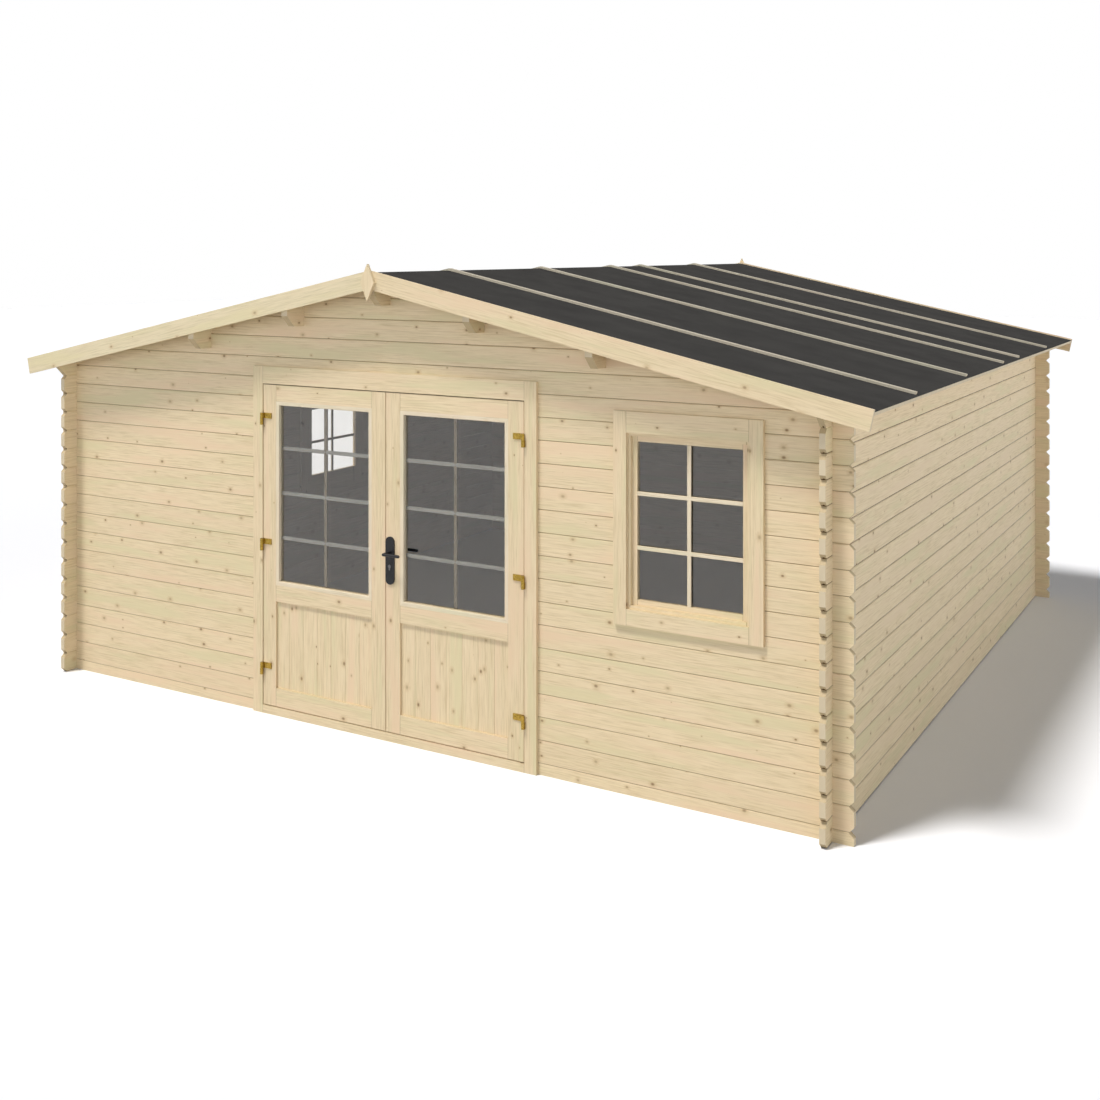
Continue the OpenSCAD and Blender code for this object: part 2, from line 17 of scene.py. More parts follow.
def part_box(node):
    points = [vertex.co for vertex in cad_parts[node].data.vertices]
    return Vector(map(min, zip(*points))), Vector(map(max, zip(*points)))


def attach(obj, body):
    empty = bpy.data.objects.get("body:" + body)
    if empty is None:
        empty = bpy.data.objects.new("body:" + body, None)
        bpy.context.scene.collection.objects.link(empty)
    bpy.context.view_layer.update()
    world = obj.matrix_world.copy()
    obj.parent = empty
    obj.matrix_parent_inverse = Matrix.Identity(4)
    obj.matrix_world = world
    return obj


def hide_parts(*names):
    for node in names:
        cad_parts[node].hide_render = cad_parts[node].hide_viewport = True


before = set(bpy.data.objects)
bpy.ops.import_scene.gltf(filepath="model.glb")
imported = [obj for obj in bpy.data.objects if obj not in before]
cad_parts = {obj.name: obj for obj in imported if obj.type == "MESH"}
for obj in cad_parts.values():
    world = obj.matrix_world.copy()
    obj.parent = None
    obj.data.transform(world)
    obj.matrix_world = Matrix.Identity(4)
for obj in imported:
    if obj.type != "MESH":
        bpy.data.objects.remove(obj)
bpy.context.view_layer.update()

LOG = logging.getLogger("log_cabin")
Piece = bpy.types.Object
Material = bpy.types.Material
Socket = bpy.types.NodeSocket
Numbers = Sequence[float]
Colour = Sequence[float]
Pair = tuple[float, float]
Triple = tuple[float, float, float]
Feed = Union[Socket, float, Numbers]
Test = Callable[[Union[bmesh.types.BMEdge, bmesh.types.BMFace]], bool]

PITCH = math.radians(12.0)
FLAT, STEEP = math.cos(PITCH), math.sin(PITCH)
QUARTER_TURN = math.pi / 2
SHARP = math.radians(40.0)
LOG_HEIGHT = 0.113
PLANK_WIDTH = 0.094
SEAT = 0.0097  # depth of a pane's edge in its groove
TOUCH = 0.0002  # gap between pieces that lie against each other
NEAR = 0.001  # places closer than this are the same
STRAIGHT = 0.9  # share of a direction from which it counts as along an axis
X_WAY, Y_WAY, Z_WAY = (1.0, 0.0, 0.0), (0.0, 1.0, 0.0), (0.0, 0.0, 1.0)
MOST, ALL = (0.3, 0.7), (0.2, 0.8)  # where most of a noise's values lie, and nearly all
WHITE = (1.0, 1.0, 1.0, 1.0)


class Side(Enum):
    """Left or right half of the cabin, with the sign of its X."""

    LEFT = -1
    RIGHT = 1

    @property
    def word(self) -> str:
        """Name of the side in lower case."""
        return self.name.lower()


class Grain(Enum):
    """Direction of the wood fibres: vectors along the grain, across it and into the wood."""

    LEVEL_X = (X_WAY, Z_WAY, Y_WAY)
    LEVEL_Y = (Y_WAY, Z_WAY, X_WAY)
    UPRIGHT = (Z_WAY, (1.0, 1.0, 0.0), (0.7, -0.7, 0.0))
    ROUND_WINDOWS = ((1.0, 1.0, 0.0), Z_WAY, (0.0, 0.0, 0.0))
    SLOPE_LEFT = ((FLAT, 0.0, STEEP), (-STEEP, 0.0, FLAT), Y_WAY)
    SLOPE_RIGHT = ((FLAT, 0.0, -STEEP), (STEEP, 0.0, FLAT), Y_WAY)
    DECK_LEFT = ((FLAT, 0.0, STEEP), Y_WAY, (-STEEP, 0.0, FLAT))
    DECK_RIGHT = ((FLAT, 0.0, -STEEP), Y_WAY, (STEEP, 0.0, FLAT))


class Element(Enum):
    """What is selected on a piece that is open for editing."""

    EDGES = "EDGE"
    FACES = "FACE"


def paint(red: int, green: int, blue: int) -> Colour:
    """Colour on the shader's scale, from one on the screen's scale of 0 to 255."""
    return *Color((red / 255.0, green / 255.0, blue / 255.0)).from_srgb_to_scene_linear(), 1.0


def inset(low: Numbers, high: Numbers, margin: float) -> tuple[Pair, Pair]:
    """Lowest and highest corner of a rectangle, moved inwards by a margin."""
    return (low[0] + margin, low[1] + margin), (high[0] - margin, high[1] - margin)


class NodeWeb:
    """Nodes of a material or a sky, with short calls for the sums that the finishes share."""

    def __init__(self, name: str, sky: bool = False) -> None:
        """Starts a material or a sky with its shader.

        Args:
            name: Name of the material or the sky.
            sky: Whether it is a sky.
        """
        self.owner = (bpy.data.worlds if sky else bpy.data.materials).new(name)
        self.owner.use_nodes = True
        self.tree = self.owner.node_tree
        self.shader = self.tree.nodes["Background" if sky else "Principled BSDF"]

    def feed(self, socket: Socket, value: Feed) -> None:
        """Links a socket to another one, or sets its value.

        Args:
            socket: The socket to feed.
            value: Another socket, a number or a colour.
        """
        if isinstance(value, Socket):
            self.tree.links.new(value, socket)
        else:
            socket.default_value = value

    def node(self, kind: str, feeds: dict[Union[int, str], Feed], **settings: object) -> bpy.types.Node:
        """Adds a node.

        Args:
            kind: Blender's type name, without ShaderNode before it.
            feeds: Values or links for its inputs, by name or number.
            **settings: Properties of the node.

        Returns:
            The new node.
        """
        made = self.tree.nodes.new(f"ShaderNode{kind}")
        for key, value in settings.items():
            setattr(made, key, value)
        for key, value in feeds.items():
            self.feed(made.inputs[key], value)
        return made

    def shade(self, feeds: dict[str, Feed]) -> None:
        """Links the shader's own sockets, or sets their values."""
        for key, value in feeds.items():
            self.feed(self.shader.inputs[key], value)

    def place(self) -> Socket:
        """Place of a point in the model's frame."""
        return self.node("TexCoord", {}).outputs["Object"]

    def facing(self) -> Socket:
        """Direction that the surface faces, in the model's frame."""
        return self.node("TexCoord", {}).outputs["Normal"]

    def sum(self, operation: str, first: Feed, second: Feed = 0.0) -> Socket:
        """One step of arithmetic on two numbers."""
        return self.node("Math", {0: first, 1: second}, operation=operation).outputs[0]

    def dot(self, vector: Feed, direction: Feed) -> Socket:
        """Reach of a vector along a direction."""
        made = self.node("VectorMath", {0: vector, 1: direction}, operation="DOT_PRODUCT")
        return made.outputs["Value"]

    def point(self, x: Feed, y: Feed, z: Feed = 0.0) -> Socket:
        """Vector from three numbers."""
        return self.node("CombineXYZ", {0: x, 1: y, 2: z}).outputs[0]

    def span(self, value: Feed, low: float, high: float, out_low: float, out_high: float) -> Socket:
        """Smooth change from out_low to out_high while value goes from low to high."""
        feeds = {"Value": value, "From Min": low, "From Max": high, "To Min": out_low, "To Max": out_high}
        return self.node("MapRange", feeds, interpolation_type="SMOOTHSTEP").outputs[0]

    def times(self, vector: Feed, factors: Feed) -> Socket:
        """Vector times another one, part by part."""
        return self.node("VectorMath", {0: vector, 1: factors}, operation="MULTIPLY").outputs[0]

    def noise(self, vector: Feed, detail: float = 2.0, rough: float = 0.5, scale: float = 1.0) -> Socket:
        """Soft noise over a vector, with so many waves to the metre."""
        feeds = {"Vector": vector, "Scale": scale, "Detail": detail, "Roughness": rough}
        return self.node("TexNoise", feeds).outputs[0]

    def blend(self, share: Feed, first: Feed, second: Feed) -> Socket:
        """Mixes two colours, from the first at a share of 0 to the second at 1."""
        return self.node("Mix", {0: share, 6: first, 7: second}, data_type="RGBA").outputs[2]

    def rays(self) -> tuple[Socket, Socket, Socket]:
        """Tells rays that are seen from those that only light.

        Returns:
            Rays straight from the camera, rays by way of glass or metal, and both kinds.
        """
        path = self.node("LightPath", {}).outputs
        mirrored = self.sum("MAXIMUM", path["Is Glossy Ray"], path["Is Transmission Ray"])
        return path["Is Camera Ray"], mirrored, self.sum("MAXIMUM", path["Is Camera Ray"], mirrored)

    def ramp(self, share: Feed, stops: Sequence[tuple[float, Colour]]) -> Socket:
        """Turns a number into a colour.

        Args:
            share: The number, from 0 to 1.
            stops: Places from 0 to 1, each with its colour.

        Returns:
            The colour between the stops.
        """
        made = self.node("ValToRGB", {0: share})
        line = made.color_ramp.elements
        while len(line) < len(stops):
            line.new(0.5)
        for element, (at, colour) in zip(line, stops):
            element.position = at
            element.color = colour
        return made.outputs[0]

    def bump(self, height: Feed, strength: float, distance: float) -> None:
        """Raises the shader's surface by a height."""
        feeds = {"Height": height, "Strength": strength, "Distance": distance}
        self.shade({"Normal": self.node("Bump", feeds).outputs[0]})


@dataclass(frozen=True)
class WoodFinish:
    """Planed pale spruce with grain, knots, a tint per log or board, dark joints and painted shade on bevels,
    top faces and log edges.
    """

    name: str
    grain: Grain
    course: float = 0.0
    course_shift: float = 0.0
    joint_half: float = 0.0018
    joint_depth: float = 0.4
    seed: float = 0.0
    knot_share: float = 0.85
    cell_along: float = 0.27
    cell_across: float = 0.105
    shade: float = 1.0
    dark: Colour = paint(207, 185, 146)
    body: Colour = paint(226, 206, 169)
    light: Colour = paint(234, 215, 180)
    pink: Colour = paint(229, 202, 168)
    green: Colour = paint(220, 207, 166)
    halo: Colour = paint(205, 178, 136)
    knot: Colour = paint(128, 97, 64)
    joint: Colour = paint(158, 134, 96)
    cut: Colour = paint(211, 195, 165)
    # Bevel colour: partly darker end grain, partly painted shade that dims the upward bevels and darkens the
    # downward ones.
    bevel: Colour = paint(184, 164, 128)
    ends: bool = True
    seams: Numbers = ()
    seam_half: float = 0.0016
    seam_depth: float = 0.6
    seam_fade: float = 2.0
    joint_fade: float = 2.1
    # On walls the joint line is painted only on the upper log's lower edge, adding painted shade under each
    # log. Knots and joints fade on the inner face.
    wall: bool = False
    inner_marks: float = 0.12
    inner_turn: Pair = (-0.1, 0.1)
    # Painted shade on top faces: faces that look up blend towards this darker colour.
    ledge: Colour = paint(198, 177, 138)
    ledge_share: float = 0.0
    painted_top_shade_tilt: Pair = (0.85, 0.98)
    shift: float = 9.0
    streaks: Triple = (6.0, 140.0, 140.0)
    fibres: Triple = (16.0, 460.0, 460.0)
    patches: Triple = (1.5, 12.0, 12.0)
    weights: Triple = (0.58, 0.2, 0.22)
    tint_pull: float = 0.12
    pink_lean: Pair = (0.56, 0.8)
    green_lean: Pair = (0.54, 0.34)
    lean_share: float = 0.8
    halo_share: float = 0.5
    bevel_grain_and_shade_share: float = 0.85
    end_bevel: Pair = (0.35, 0.62)
    end_face: Pair = (0.8, 0.95)
    levels: Pair = (0.98, 1.015)
    rough: Pair = (0.68, 0.54)
    gloss: float = 0.28
    relief: Pair = (0.12, 0.0012)
    knot_radius: Pair = (0.0001, 0.0098)
    knot_ages: Pair = (0.1, 0.9)
    knot_depth: Pair = (0.4, 0.85)
    knot_core: Pair = (0.2, 1.1)
    knot_halo: Pair = (0.7, 2.6)
    knot_stretch: float = 0.72
    grain_push: float = 0.7

    def make(self) -> Material:
        """Builds the material.

        Returns:
            The finished wood.
        """
        web = NodeWeb(self.name)
        place = web.place()
        along, across, depth = (web.dot(place, way) for way in self.grain.value)
        row, tone, tint = self.dice(web, across)
        moved = web.sum("ADD", along, web.sum("MULTIPLY", tone, self.shift))
        knots, halo, push = self.knots(web, moved, across)
        drawn = web.point(moved, web.sum("ADD", across, push), depth)
        streaks = web.noise(web.times(drawn, self.streaks), 3.0, 0.6)
        fibres = web.noise(web.times(drawn, self.fibres), 2.0, 0.55)
        patches = web.noise(web.times(drawn, self.patches))
        fibre = web.dot(web.point(streaks, fibres, patches), self.weights)
        colour = web.ramp(web.span(fibre, *MOST, 0.0, 1.0),
                          [(0.0, self.dark), (0.5, self.body), (1.0, self.light)])
        lean = web.sum("ADD", patches, web.sum("MULTIPLY", tint, self.tint_pull))
        for limits, aim in ((self.pink_lean, self.pink), (self.green_lean, self.green)):
            colour = web.blend(web.span(lean, *limits, 0.0, self.lean_share), colour, aim)
        colour = web.blend(web.sum("MULTIPLY", halo, self.halo_share), colour, self.halo)
        line = self.joints(web, row) if self.course else 0.0
        if self.wall:
            marked = web.span(web.dot(web.facing(), place), *self.inner_turn, self.inner_marks, 1.0)
            knots, line = web.sum("MULTIPLY", knots, marked), web.sum("MULTIPLY", line, marked)
        colour = web.blend(knots, colour, self.knot)
        if self.ends:
            end = web.sum("ABSOLUTE", web.dot(web.facing(), self.grain.value[0]))
            # Bevels take a darker colour: end grain, plus painted shade in the notches between log ends.
            colour = web.blend(web.span(end, *self.end_bevel, 0.0, self.bevel_grain_and_shade_share), colour, self.bevel)
            colour = web.blend(web.span(end, *self.end_face, 0.0, 1.0), colour, self.cut)
        # Painted shade: faces that look up are darkened so that they are no brighter than the fronts.
        if self.ledge_share:
            top = web.dot(web.facing(), Z_WAY)
            colour = web.blend(web.span(top, *self.painted_top_shade_tilt, 0.0, self.ledge_share), colour, self.ledge)
        if self.course:
            colour = web.blend(line, colour, self.joint)
        for seam in self.seams:
            off = web.sum("ABSOLUTE", web.sum("SUBTRACT", along, seam))
            line = web.span(off, self.seam_half, self.seam_half * self.seam_fade, self.seam_depth, 0.0)
            colour = web.blend(line, colour, self.joint)
        level = web.sum("MULTIPLY", web.span(tone, 0.0, 1.0, *self.levels), self.shade)
        colour = web.times(colour, web.point(level, level, level))
        web.shade({"Base Color": colour, "Roughness": web.span(streaks, *ALL, *self.rough),
                   "Specular IOR Level": self.gloss})
        web.bump(fibre, *self.relief)
        return web.owner

    def dice(self, web: NodeWeb, across: Feed) -> tuple[Feed, Feed, Feed]:
        """Row number of a log or board, with two chances that belong to it.

        Args:
            web: The material's nodes.
            across: Distance across the grain.

        Returns:
            The row with its fraction, and two numbers from 0 to 1.
        """
        row, key = 0.0, self.seed
        if self.course:
            row = web.sum("ADD", web.sum("DIVIDE", across, self.course), self.course_shift)
            key = web.sum("ADD", web.sum("FLOOR", row), self.seed)
        made = web.node("TexWhiteNoise", {"W": key}, noise_dimensions="1D")
        return row, made.outputs["Value"], web.dot(made.outputs["Color"], Y_WAY)

    def knots(self, web: NodeWeb, along: Feed, across: Feed) -> tuple[Feed, Feed, Feed]:
        """Scattered round knots at their real size.

        Args:
            web: The material's nodes.
            along: Distance along the grain.
            across: Distance across the grain.

        Returns:
            The knots, the darker wood round them, and how far they push the grain aside.
        """
        cell = web.times(web.point(along, across), (1.0 / self.cell_along, 1.0 / self.cell_across, 0.0))
        spot = web.node("TexVoronoi", {"Vector": cell, "Scale": 1.0, "Randomness": 0.95},
                        voronoi_dimensions="2D", feature="F1")
        off = web.node("VectorMath", {0: cell, 1: spot.outputs["Position"]}, operation="SUBTRACT")
        real = web.times(off.outputs[0], (self.cell_along * self.knot_stretch, self.cell_across, 0.0))
        reach = web.node("VectorMath", {0: real}, operation="LENGTH").outputs["Value"]
        chance = web.dot(spot.outputs["Color"], X_WAY)
        age = web.dot(spot.outputs["Color"], Y_WAY)
        radius = web.span(chance, 1.0 - self.knot_share, 1.0, *self.knot_radius)
        share = web.sum("DIVIDE", reach, radius)
        depth = web.span(age, *self.knot_ages, *self.knot_depth)
        core = web.sum("MULTIPLY", web.span(share, *self.knot_core, 1.0, 0.0), depth)
        halo = web.span(share, *self.knot_halo, 1.0, 0.0)
        push = web.sum("MULTIPLY", web.dot(real, Y_WAY), web.sum("MULTIPLY", halo, self.grain_push))
        return core, halo, push

    def joints(self, web: NodeWeb, row: Feed) -> Feed:
        """Dark line where two logs or boards meet.

        Args:
            web: The material's nodes.
            row: Row number with its fraction.

        Returns:
            The strength of the line, 0 away from it.
        """
        part = web.sum("FRACT", row)
        # Walls: the dark joint is painted only on the lower edge of the upper log, where it also paints the
        # shade under that log.
        near = part if self.wall else web.sum("MINIMUM", part, web.sum("SUBTRACT", 1.0, part))
        gap = web.sum("MULTIPLY", near, self.course)
        return web.span(gap, self.joint_half, self.joint_half * self.joint_fade, self.joint_depth, 0.0)


@dataclass(frozen=True)
class FeltFinish:
    """Roofing felt with a mineral surface."""

    name: str = "mineral_felt"
    dark: Colour = paint(61, 60, 59)
    pale: Colour = paint(74, 73, 71)
    grit: float = 420.0
    cloud: float = 5.0
    weights: Triple = (0.6, 0.4, 0.0)
    tones: Pair = (0.3, 0.72)
    rough: Pair = (0.98, 0.86)
    relief: Pair = (0.35, 0.002)

    def make(self) -> Material:
        """Builds the material.

        Returns:
            The finished felt.
        """
        web = NodeWeb(self.name)
        place = web.place()
        grit = web.noise(place, 2.0, 0.6, self.grit)
        cloud = web.noise(place, 3.0, 0.55, self.cloud)
        mixed = web.dot(web.point(grit, cloud), self.weights)
        colour = web.ramp(web.span(mixed, *self.tones, 0.0, 1.0), [(0.0, self.dark), (1.0, self.pale)])
        web.shade({"Base Color": colour, "Roughness": web.span(grit, *ALL, *self.rough),
                   "Specular IOR Level": 0.0})
        web.bump(grit, *self.relief)
        return web.owner


@dataclass(frozen=True)
class MetalFinish:
    """Metal of the hinges, the handle or the lock."""

    name: str
    dull: Colour
    bright: Colour
    metallic: float
    rough: Pair
    speckle: float = 160.0
    relief: Pair = (0.05, 0.0004)

    def make(self) -> Material:
        """Builds the material.

        Returns:
            The finished metal.
        """
        web = NodeWeb(self.name)
        wear = web.noise(web.place(), 3.0, 0.6, self.speckle)
        colour = web.ramp(web.span(wear, *MOST, 0.0, 1.0), [(0.0, self.dull), (1.0, self.bright)])
        web.shade({"Base Color": colour, "Roughness": web.span(wear, *MOST, *self.rough),
                   "Metallic": self.metallic})
        web.bump(wear, *self.relief)
        return web.owner


@dataclass(frozen=True)
class GlassFinish:
    """Plain window glass, faintly uneven."""

    name: str = "window_glass"
    index: float = 1.63
    dull: Colour = (0.965, 0.97, 0.965, 1.0)
    clear: Colour = (0.985, 0.99, 0.985, 1.0)
    film: float = 3.0

    def make(self) -> Material:
        """Builds the material.

        Returns:
            The finished glass.
        """
        web = NodeWeb(self.name)
        film = web.noise(web.place(), scale=self.film)
        colour = web.ramp(film, [(MOST[0], self.dull), (MOST[1], self.clear)])
        web.shade({"Base Color": colour, "Roughness": 0.0, "IOR": self.index, "Transmission Weight": 1.0})
        return web.owner


class Bench:
    """Blender's modelling operators, used on one piece at a time."""

    @staticmethod
    def pick(*pieces: Piece) -> None:
        """Selects these pieces only, or none, with the first one active.

        Args:
            *pieces: The pieces.
        """
        bpy.ops.object.select_all(action="DESELECT")
        for piece in pieces:
            piece.select_set(True)
        bpy.context.view_layer.objects.active = pieces[0] if pieces else None

    @staticmethod
    def label(piece: Piece, name: str) -> Piece:
        """Names a piece and its mesh."""
        piece.name = piece.data.name = name
        return piece

    @staticmethod
    def settle(name: str) -> Piece:
        """Names the new primitive and puts its place into its mesh."""
        bpy.ops.object.transform_apply(location=True, rotation=True, scale=True)
        return Bench.label(bpy.context.object, name)

    @staticmethod
    def block(name: str, low: Numbers, high: Numbers) -> Piece:
        """Adds a block between two corners.

        Args:
            name: Name of the piece.
            low: Lowest corner.
            high: Highest corner.

        Returns:
            The block.
        """
        Bench.pick()
        bpy.ops.mesh.primitive_cube_add(size=1.0, location=(Vector(low) + Vector(high)) / 2)
        bpy.context.object.scale = Vector(high) - Vector(low)
        return Bench.settle(name)

    @staticmethod
    def sheet(name: str, low: Numbers, high: Numbers, y: float) -> Piece:
        """Adds an upright sheet that faces -Y.

        Args:
            name: Name of the piece.
            low: Lowest X and Z.
            high: Highest X and Z.
            y: Place along Y.

        Returns:
            The sheet.
        """
        Bench.pick()
        middle = ((low[0] + high[0]) / 2, y, (low[1] + high[1]) / 2)
        bpy.ops.mesh.primitive_plane_add(size=1.0, location=middle, rotation=(QUARTER_TURN, 0.0, 0.0))
        bpy.context.object.scale = (high[0] - low[0], high[1] - low[1], 1.0)
        return Bench.settle(name)

    @staticmethod
    def disc(name: str, centre: Numbers, radius: float, length: float, corners: int) -> Piece:
        """Adds a round bar that lies along Y.

        Args:
            name: Name of the piece.
            centre: Middle of the bar.
            radius: Its radius.
            length: Its length.
            corners: Number of flats round it.

        Returns:
            The bar.
        """
        Bench.pick()
        bpy.ops.mesh.primitive_cylinder_add(vertices=corners, radius=radius, depth=length, location=centre,
                                            rotation=(QUARTER_TURN, 0.0, 0.0))
        return Bench.settle(name)

    @staticmethod
    def select(piece: Piece, element: Element = Element.FACES, test: Test = lambda part: True) -> None:
        """Opens a piece for editing and selects all or some of its faces or edges.

        Args:
            piece: The piece.
            element: Whether faces or edges are selected.
            test: Tells whether one of them is.
        """
        Bench.pick(piece)
        bpy.ops.object.mode_set(mode="EDIT")
        bpy.ops.mesh.select_mode(type=element.value)
        bpy.ops.mesh.select_all(action="DESELECT")
        mesh = bmesh.from_edit_mesh(piece.data)
        for part in mesh.edges if element is Element.EDGES else mesh.faces:
            part.select_set(test(part))
        bmesh.update_edit_mesh(piece.data)

    @staticmethod
    def close() -> None:
        """Ends the editing of a piece."""
        bpy.ops.object.mode_set(mode="OBJECT")

    @staticmethod
    def chamfer(piece: Piece, test: Test, width: float, steps: int = 1) -> None:
        """Bevels some of a piece's edges.

        Args:
            piece: The piece.
            test: Tells whether an edge is bevelled.
            width: Width of the bevel.
            steps: Number of faces that it is made of.
        """
        Bench.select(piece, Element.EDGES, test)
        bpy.ops.mesh.bevel(offset=width, segments=steps, affect="EDGES")
        Bench.close()

    @staticmethod
    def modify(piece: Piece, kind: str, **settings: object) -> None:
        """Adds a modifier to a piece and applies it.

        Args:
            piece: The piece.
            kind: Blender's name for the modifier.
            **settings: Properties of the modifier.
        """
        Bench.pick(piece)
        made = piece.modifiers.new(kind.lower(), kind)
        for key, value in settings.items():
            setattr(made, key, value)
        bpy.ops.object.modifier_apply(modifier=made.name)

    @staticmethod
    def thicken(piece: Piece, thickness: float) -> None:
        """Gives a sheet its thickness, half of it to each side."""
        Bench.modify(piece, "SOLIDIFY", thickness=thickness, offset=0.0, use_even_offset=True)

    @staticmethod
    def soften(piece: Piece, width: float, steps: int = 2) -> None:
        """Rounds all sharp edges of a piece in a number of steps."""
        Bench.modify(piece, "BEVEL", width=width, segments=steps, limit_method="ANGLE", angle_limit=SHARP)

    @staticmethod
    def row(piece: Piece, count: int, step: Numbers) -> None:
        """Repeats a piece within its own mesh, each one a step from the last."""
        Bench.modify(piece, "ARRAY", count=count, use_relative_offset=False, use_constant_offset=True,
                     constant_offset_displace=step)

    @staticmethod
    def copy(piece: Piece, name: str, move: Matrix) -> Piece:
        """Copies a piece with its own mesh.

        Args:
            piece: The piece to copy.
            name: Name of the copy.
            move: Turn and shift of the copy.

        Returns:
            The copy.
        """
        made = piece.copy()
        made.data = piece.data.copy()
        Bench.label(made, name)
        bpy.context.scene.collection.objects.link(made)
        made.data.transform(move)
        return made

    @staticmethod
    def join(name: str, parts: Sequence[Piece]) -> Piece:
        """Joins parts into one piece.

        Args:
            name: Name of the piece.
            parts: What it is made of.

        Returns:
            The piece.
        """
        Bench.pick(*parts)
        bpy.ops.object.join()
        return Bench.label(bpy.context.object, name)

    @staticmethod
    def lattice(name: str, low: Numbers, high: Numbers, y: float, columns: int, rows: int, bar: float,
                thickness: float) -> Piece:
        """Makes glazing bars from one sheet: it is cut into panes, which are inset and taken out.

        Args:
            name: Name of the piece.
            low: Lowest X and Z of the opening.
            high: Highest X and Z of the opening.
            y: Middle of the bars along Y.
            columns: Panes across.
            rows: Panes up.
            bar: Width of a bar.
            thickness: Thickness of a bar.

        Returns:
            The bars, which end at the edges of the opening.
        """
        rim = bar / 2
        out_low, out_high = inset(low, high, -rim)
        xs = [out_low[0] + (out_high[0] - out_low[0]) * i / columns for i in range(1, columns)]
        zs = [out_low[1] + (out_high[1] - out_low[1]) * i / rows for i in range(1, rows)]
        piece = Bench.sheet(name, out_low, out_high, y)
        for x in xs:
            Bench.cut(piece, (x, y, 0.0), X_WAY)
        for z in zs:
            Bench.cut(piece, (0.0, y, z), Z_WAY)
        Bench.select(piece)
        bpy.ops.mesh.inset(thickness=rim, use_individual=True, use_boundary=True)
        bpy.ops.mesh.delete(type="FACE")
        Bench.close()
        for place, way in (((low[0], y, 0.0), (-1.0, 0.0, 0.0)), ((high[0], y, 0.0), X_WAY),
                           ((0.0, y, low[1]), (0.0, 0.0, -1.0)), ((0.0, y, high[1]), Z_WAY)):
            Bench.cut(piece, place, way, trim=True)
        Bench.thicken(piece, thickness)
        Bench.number_members(piece, xs, zs)
        return piece

    @staticmethod
    def cut(piece: Piece, place: Triple, way: Triple, trim: bool = False) -> None:
        """Cuts a sheet along a plane.

        Args:
            piece: The sheet.
            place: A point on the plane.
            way: Direction that the plane faces.
            trim: Whether what lies beyond the plane comes off.
        """
        Bench.select(piece)
        bpy.ops.mesh.bisect(plane_co=place, plane_no=way, clear_outer=trim)
        Bench.close()

    @staticmethod
    def number_members(piece: Piece, xs: Numbers, zs: Numbers) -> None:
        """Numbers the faces of bars or frames by the member that they are on.

        Args:
            piece: The piece.
            xs: Places of the upright members, whose faces get number 0.
            zs: Places of the level members, whose faces get number 1.
        """
        for face in piece.data.polygons:
            aside = min(abs(face.center.x - x) for x in xs)
            up = min(abs(face.center.z - z) for z in zs)
            face.material_index = int(up < aside)

    @staticmethod
    def border(name: str, low: Numbers, high: Numbers, y: float, width: float, thickness: float) -> Piece:
        """Makes a flat frame from one sheet.

        Args:
            name: Name of the piece.
            low: Lowest X and Z of its outside.
            high: Highest X and Z of its outside.
            y: Middle of the frame along Y.
            width: Width of its members.
            thickness: Thickness along Y.

        Returns:
            The frame.
        """
        piece = Bench.sheet(name, low, high, y)
        Bench.select(piece)
        bpy.ops.mesh.inset(thickness=width, use_boundary=True)
        bpy.ops.mesh.delete(type="FACE")
        Bench.close()
        Bench.thicken(piece, thickness)
        Bench.number_members(piece, (low[0], high[0]), (low[1], high[1]))
        return piece


def finished(piece: Piece, body: str, slot: str, *coats: Material) -> None:
    """Gives a piece its finish and the body that carries it.

    Args:
        piece: The piece.
        body: Body that it rides on.
        slot: Material slot of the record; not used.
        *coats: Its materials, in the order that its faces number them.
    """
    for coat in coats:
        piece.data.materials.append(coat)
    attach(piece, body)
    LOG.info("%s: %d faces on %s", piece.name, len(piece.data.polygons), body)


def level_ends(node: str) -> Pair:
    """Both ends of a node along X."""
    low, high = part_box(node)
    return low.x, high.x


def window_boxes(node: str) -> list[Vector]:
    """Boxes of a node's members at the front window and at the side window.

    Args:
        node: Name of the node.

    Returns:
        Lowest and highest corner at the front window, then at the side window.
    """
    spots = [vert.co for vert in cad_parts[node].data.vertices]
    windows = [spot for spot in spots if spot.x > 0.0], [spot for spot in spots if spot.x < 0.0]
    return [Vector(end(spot[axis] for spot in window) for axis in range(3))
            for window in windows for end in (min, max)]


def window_ends(node: str) -> tuple[float, ...]:
    """Ends of a node's members at the front window and at the side window.

    Args:
        node: Name of the node.

    Returns:
        Two places for each window, as X plus Y on its outer face.
    """
    low, high, side_low, side_high = window_boxes(node)
    return low.x + low.y, high.x + low.y, side_low.x + side_low.y, side_low.x + side_high.y


